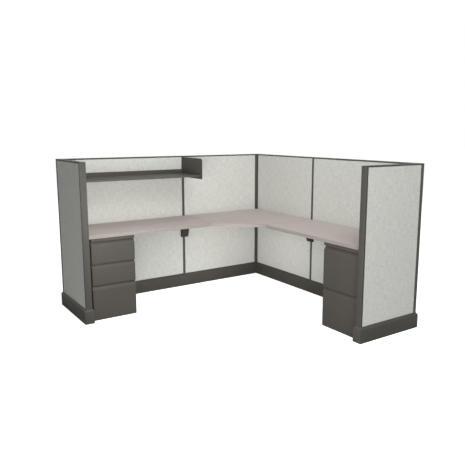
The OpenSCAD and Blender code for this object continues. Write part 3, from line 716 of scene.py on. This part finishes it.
def drawer_front(node):
    """The side view, as depth in front of the drawer and height, carried across the front. The
    left pedestal faces -Y and the right one -X, which is the thin side of the box."""
    low, high = (np.array(corner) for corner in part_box(node))
    faces_left = high[0] - low[0] < high[1] - low[1]
    outward = np.array([-1.0, 0, 0]) if faces_left else np.array([0, -1.0, 0])
    across = np.array([0, 1.0, 0]) if faces_left else np.array([1.0, 0, 0])
    width, depth, tall = (high - low) @ across, abs((high - low) @ outward), high[2] - low[2]
    side = [(0, 0), (depth, 0), (depth, tall - PULL_H), (PULL_LIP, tall), (0, tall)]
    outline = round_corners(side, [BEND_R, BEND_R, PULL_BEND_R, LIP_R, LIP_R], 7)
    rim = rounded_rim(width, FOLD_R, FOLD_R, FOLD_R)
    origin = low * across + high * np.abs(outward) + low * UP
    front = carried(
        node + "_pan", outline, rim, origin, (outward, UP, across), coats["pedestal_paint"]
    )
    return stands_for(front, node)


fronts = sorted(n for n in frame["nodes"] if n.endswith("_drawer_front"))
for node in fronts:
    drawer_front(node)
print(len(fronts), "drawer fronts")

# %% [markdown]
# The shelf is one sheet with four folds: a hem, a lip, the shelf itself and a flange up the wall.
# Seen from the end it is a thin band with round bends, and that band is the outline that is
# carried along the shelf. A plate with rounded front corners closes each end.

# %% Shelf
SHELF_SHEET = 0.0015
SHELF_LIP = 0.015
SHELF_HEM = 0.015
SHELF_BEND_R = 0.003
CUT_R = 0.0004
ROUND_TOP = 0.026
ROUND_LOW = 0.012
PLATE_EDGE_R = 0.0008
PLATE_REACH = 0.0016
PLATE_CORNER_R = 0.002
FROM_WALL = ((0, -1, 0), (0, 0, 1), (1, 0, 0))


def sheet_band(path, thickness):
    """The closed outline of a sheet that lies to the left of a path, mitred at its folds."""
    path = np.array(path, float)
    step = np.diff(path, axis=0)
    step /= np.linalg.norm(step, axis=1, keepdims=True)
    left = np.stack([-step[:, 1], step[:, 0]], axis=1)
    before, after = np.vstack([left[:1], left]), np.vstack([left, left[-1:]])
    mitre = (before + after) / (1 + (before * after).sum(1, keepdims=True))
    return np.vstack([path, (path + thickness * mitre)[::-1]])


def folded_shelf():
    """The shelf's band, as distance from the wall and height. Each fold is rounded by
    SHELF_BEND_R on its outer side and by that less the sheet on its inner side."""
    low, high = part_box("shelf_pan")
    deep, back, level = high.y - low.y, SHELF_SHEET, low.z + SHELF_LIP
    path = [(deep - SHELF_HEM, low.z), (deep, low.z), (deep, level), (back, level), (back, high.z)]
    outer, inner = SHELF_BEND_R, SHELF_BEND_R - SHELF_SHEET
    radii = [CUT_R, outer, outer, inner, CUT_R, CUT_R, outer, inner, inner, CUT_R]
    band = round_corners(sheet_band(path, SHELF_SHEET), radii, 5)
    rim = rounded_rim(high.x - low.x, CUT_R / 2, CUT_R / 2, CUT_R, steps=3)
    origin = (low.x, high.y, 0)
    shelf = carried("shelf_folded", band, rim, origin, FROM_WALL, coats["shelf_paint"], thin=True)
    return stands_for(shelf, "shelf_pan")


def shelf_plate(node):
    """An end plate: a rectangle with its two front corners rounded. Its back edge goes into the
    seam of the panels and stands on the stile there."""
    low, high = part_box(node)
    deep = high.y - low.y
    side = [(0, low.z), (deep, low.z), (deep, high.z), (0, high.z)]
    radii = [PLATE_CORNER_R, ROUND_LOW, ROUND_TOP, PLATE_CORNER_R]
    rim = rounded_rim(high.x - low.x, PLATE_EDGE_R, PLATE_EDGE_R, PLATE_REACH)
    origin = (low.x, high.y, 0)
    plate = carried(
        node + "_plate", round_corners(side, radii, 9), rim, origin, FROM_WALL, coats["shelf_paint"]
    )
    return stands_for(plate, node)


folded_shelf()
shelf_plate("shelf_left_end")
shelf_plate("shelf_right_end")

# %% [markdown]
# A levelling glide is a moulded foot on a threaded stem, locked by a nut. All three are turned
# shapes: a radius that changes with height, spun about the stem. In a thread the radius also rises
# and falls along the stem, and going once round shifts that pattern by one pitch, which makes it a
# screw. The nut's radius follows a hexagon, with its corners cut round at both ends.

# %% Levelling glides
AROUND = 36
LEVEL_DIST = 1e-5
FOOT_RADII = np.array([0, 14.2, 15.4, 16.0, 16.0, 15.2, 9.5, 7.0, 6.6, 6.0, 0]) / 1000
FOOT_LEVELS = np.array([0, 0, 0.4, 1.6, 3.0, 4.2, 5.4, 5.9, 8.0, 8.6, 8.8]) / 1000
STEM_R = 0.004
THREAD_PITCH = 0.00125
THREAD_DEPTH = 0.0005
NUT_LOW, NUT_HIGH = 0.011, 0.016
NUT_CORNER_R = 0.0075
NUT_CUT = 0.0009


def standing_pieces(node, reach):
    """Plan centre, lowest and highest level of each upright piece of a node. The points of its top
    face that lie within reach of one another belong to one piece."""
    mesh = frame["nodes"][node].data
    points = np.empty(len(mesh.vertices) * 3, np.float32)
    mesh.vertices.foreach_get("co", points)
    points = points.reshape(-1, 3).astype(float)
    top = points[points[:, 2] > points[:, 2].max() - LEVEL_DIST]
    pieces = []
    while len(top):
        near = np.linalg.norm(top[:, :2] - top[0, :2], axis=1) < reach
        centre = (top[near, :2].min(axis=0) + top[near, :2].max(axis=0)) / 2
        own = points[np.linalg.norm(points[:, :2] - centre, axis=1) < reach]
        pieces.append((*centre, own[:, 2].min(), own[:, 2].max()))
        top = top[~near]
    return np.array(pieces)


def spun(radii, levels):
    """A grid of points with a radius for each level, or for each level and angle."""
    angle = np.arange(AROUND) / AROUND * 2 * math.pi
    levels = np.asarray(levels, float)[:, None] * np.ones(AROUND)
    radii = np.reshape(radii, (len(levels), -1)) * np.ones(AROUND)
    return np.stack([radii * np.cos(angle), radii * np.sin(angle), levels], axis=-1)


def thread(low, high, pitch, depth):
    """Radii and levels of a screw thread. At level z and share t of a turn, the radius is the
    stem's less depth times a wave of z / pitch - t, which falls from 1 to 0 and rises again."""
    levels = np.arange(low, high, pitch / 4)
    turn = np.arange(AROUND) / AROUND
    wave = np.abs((levels[:, None] / pitch - turn) % 1 * 2 - 1)
    radii = STEM_R - depth * wave
    closed = np.zeros((1, AROUND))
    return np.vstack([closed, radii, closed]), np.concatenate([[low], levels, [levels[-1]]])


def hex_nut():
    """Radii and levels of a nut: apothem / cos(angle from the middle of a side) on its flanks, and
    the apothem alone at both ends, where a cone has cut the corners off."""
    side = np.arange(AROUND) / AROUND * 2 * math.pi % (math.pi / 3) - math.pi / 6
    apothem = NUT_CORNER_R * math.cos(math.pi / 6)
    flank, round_end, hole = apothem / np.cos(side), np.full(AROUND, apothem), np.full(AROUND, STEM_R)
    levels = [NUT_LOW, NUT_LOW, NUT_LOW + NUT_CUT, NUT_HIGH - NUT_CUT, NUT_HIGH, NUT_HIGH]
    return np.array([hole, round_end, flank, flank, round_end, hole]), levels


def repeated(name, shapes, places, material):
    """One mesh with copies of spun shapes at all the places."""
    points, faces, start = [], [], 0
    for shape in shapes:
        quads = np.array(ring_faces(len(shape), AROUND, capped=False))
        count = shape.shape[0] * AROUND
        copies = shape.reshape(-1, 3)[None] + places[:, None]
        points.append(copies.reshape(-1, 3))
        step = start + np.arange(len(places)) * count
        faces.append((quads[None] + step[:, None, None]).reshape(-1, 4))
        start += count * len(places)
    return make_piece(name, np.vstack(points), np.vstack(faces).tolist(), material)


def glides(node):
    """Feet of black plastic, and zinc-plated stems and nuts, wherever the node has a glide."""
    standing = standing_pieces(node, FOOT_RADII.max() + LEVEL_DIST)
    places = np.column_stack([standing[:, :2], standing[:, 2]])
    foot = spun(FOOT_RADII, FOOT_LEVELS)
    stem = spun(*thread(FOOT_LEVELS[-2], standing[0, 3], THREAD_PITCH, THREAD_DEPTH))
    feet = repeated(node + "_feet", [foot], places, coats["glide_black"])
    stems = repeated(node + "_stems", [stem, spun(*hex_nut())], places, coats["zinc_steel"])
    stands_for(feet, node)
    stands_for(stems, node)
    return len(places)


panel_glides, drawer_glides = glides("levelling_glides"), glides("pedestal_glides")
print(panel_glides, "glides under the panels and", drawer_glides, "under the drawers")

# %% [markdown]
# The tops are held from below by pan-head screws with a cross recess. A head is a dome whose height
# falls off with the fourth power of the distance from its middle, so it is flat with a round edge.
# The recess is cut where a point is near either of two crossed lines, and not too far out.

# %% Worksurface screws
HEAD_R = 0.0045
HEAD_H = 0.0024
SHANK_R = 0.0022
CROSS_HALF = 0.0005
CROSS_REACH = 0.0025
CROSS_DEPTH = 0.0013
CROSS_SLOPE = 0.0004
SCREW_TIP = 0.004


def screw_head():
    """The head as a dome below level 0, with its recess, and closed to the shank above."""
    share = np.concatenate([np.linspace(0, 0.62, 9), np.linspace(0.7, 1, 8)])[:, None]
    angle = np.arange(AROUND) / AROUND * 2 * math.pi
    x, y = HEAD_R * share * np.cos(angle), HEAD_R * share * np.sin(angle)
    from_lines = np.minimum(np.abs(x), np.abs(y))
    across = np.clip((CROSS_HALF - from_lines) / CROSS_SLOPE + 0.5, 0, 1)
    along = np.clip((CROSS_REACH - HEAD_R * share) / CROSS_SLOPE, 0, 1)
    dome = -HEAD_H * np.sqrt(1 - share**4) + CROSS_DEPTH * across * along
    return np.stack([x, y, dome], axis=-1)


def screws(node):
    """Heads and pointed shanks wherever the node has a screw."""
    standing = standing_pieces(node, HEAD_R + LEVEL_DIST)
    places = np.column_stack([standing[:, :2], standing[:, 2] + HEAD_H])
    length = standing[0, 3] - standing[:, 2].max() - HEAD_H
    shank = spun([0, SHANK_R, SHANK_R, 0], [0, 0, length - SCREW_TIP, length])
    piece = repeated(node + "_pan_heads", [screw_head(), shank], places, coats["zinc_steel"])
    return len(places), stands_for(piece, node)


print(screws("worksurface_screws")[0], "screws")

# %% [markdown]
# The photograph is lit from all round, so that it has no shadows: the walls under the tops are as
# bright as those above them. A ring of large soft lamps stands in for that. Two stand far off in
# front, one of them low enough to shine under the shelf and the tops, two hang high over the open
# corner, three stand at the seat, two small ones fill the knee space, and one lights the outer
# faces behind. The camera doesn't see them. Their levels were first solved for together, so that
# each wall and top comes out about as bright as its colour is written. Then some of the overhead
# light was moved to the front, because from overhead the shelf shades the top below it.

# %% Lamps
LAMPS = [
    ("far_front", (-1.0, -11.0, 1.6), (0, 0.5, 0.7), 3.0, 28),
    ("low_far", (-2.5, -7.0, 0.5), (0.4, 0.4, 0.7), 2.5, 190),
    ("top_front", (-0.6, -3.5, 4.5), (-0.2, 0.6, 0.75), 3.0, 118),
    ("top", (-0.2, -0.6, 5.5), (0, 0, 0.7), 3.5, 48),
    ("seat_high", (-1.0, -1.0, 2.4), (1.07, 0.1, 0.9), 1.2, 3),
    ("seat_low", (-1.0, -0.9, 1.0), (1.07, 0.1, 0.8), 1.2, 21),
    ("under_shelf", (-0.9, -0.3, 0.95), (-0.4, 1.07, 1.1), 0.8, 4),
    ("knee_left", (0.0, 0.0, 0.4), (1.07, 1.07, 0.42), 0.5, 1.2),
    ("knee_corner", (0.3, 0.3, 0.4), (1.07, 1.07, 0.42), 0.5, 1.9),
    ("behind", (5.0, 7.0, 3.0), (0, 0, 0.7), 4.0, 200),
]
WORLD_LEVEL = 0.28


def soft_lamp(name, place, target, width, power):
    data = bpy.data.lights.new(name, "AREA")
    data.shape = "DISK"
    data.size = width
    data.energy = power
    lamp = bpy.data.objects.new(name, data)
    bpy.context.scene.collection.objects.link(lamp)
    lamp.location = place
    lamp.rotation_euler = (Vector(target) - Vector(place)).to_track_quat("-Z", "Y").to_euler()
    lamp.visible_camera = False
    return lamp


for lamp in LAMPS:
    soft_lamp(*lamp)
print(len(LAMPS), "lamps")

# %% [markdown]
# The world is one even level of light from all sides. To the camera, and in reflections, it is
# plain white, which is what the photograph has behind the object. Light Path tells the shader which
# kind of ray is asking.

# %% World


def studio_world():
    """An even world that lights the object at WORLD_LEVEL and shows white to the camera."""
    world = bpy.data.worlds.new("studio")
    bpy.context.scene.world = world
    world.use_nodes = True
    nodes, links = world.node_tree.nodes, world.node_tree.links
    nodes.clear()
    paths = nodes.new("ShaderNodeLightPath")
    direct = nodes.new("ShaderNodeMath")
    direct.operation = "MAXIMUM"
    links.new(paths.outputs["Is Camera Ray"], direct.inputs[0])
    links.new(paths.outputs["Is Glossy Ray"], direct.inputs[1])
    seen = nodes.new("ShaderNodeMath")
    seen.operation = "MAXIMUM"
    links.new(direct.outputs["Value"], seen.inputs[0])
    links.new(paths.outputs["Is Transmission Ray"], seen.inputs[1])
    plain, white = nodes.new("ShaderNodeBackground"), nodes.new("ShaderNodeBackground")
    plain.inputs["Strength"].default_value = WORLD_LEVEL
    for background in (plain, white):
        background.inputs["Color"].default_value = (1, 1, 1, 1)
    choice, out = nodes.new("ShaderNodeMixShader"), nodes.new("ShaderNodeOutputWorld")
    links.new(seen.outputs["Value"], choice.inputs["Fac"])
    links.new(plain.outputs["Background"], choice.inputs[1])
    links.new(white.outputs["Background"], choice.inputs[2])
    links.new(choice.outputs["Shader"], out.inputs["Surface"])


studio_world()

# %% [markdown]
# The floor is a wide pale sheet. The camera sees white paint that keeps a soft shadow, with a
# little glow to bring it up to the white of the background. Other rays see a paler grey, so that
# the floor throws back no more light than a real one.

# %% Floor
FLOOR_HALF = 20.0
FLOOR_DEPTH = 0.0005
FLOOR_GREY = 0.55
FLOOR_GLOW = 0.73


def studio_floor():
    mesh = bpy.data.meshes.new("studio_floor")
    a, z = FLOOR_HALF, -FLOOR_DEPTH
    mesh.from_pydata([(-a, -a, z), (a, -a, z), (a, a, z), (-a, a, z)], [], [(0, 1, 2, 3)])
    floor = bpy.data.objects.new("studio_floor", mesh)
    bpy.context.scene.collection.objects.link(floor)
    finish = Finish("floor_paint", 0.9, specular=0.0)
    seen = finish.wire("ShaderNodeLightPath").outputs["Is Camera Ray"]
    grey = (FLOOR_GREY, FLOOR_GREY, FLOOR_GREY, 1)
    finish.set("Base Color", finish.mix(seen, grey, (1, 1, 1, 1)))
    finish.set("Emission Color", (1, 1, 1, 1))
    finish.set("Emission Strength", finish.maths("MULTIPLY", seen, FLOOR_GLOW))
    mesh.materials.append(finish.material)
    return floor


studio_floor()
bpy.context.scene.view_settings.view_transform = "Standard"
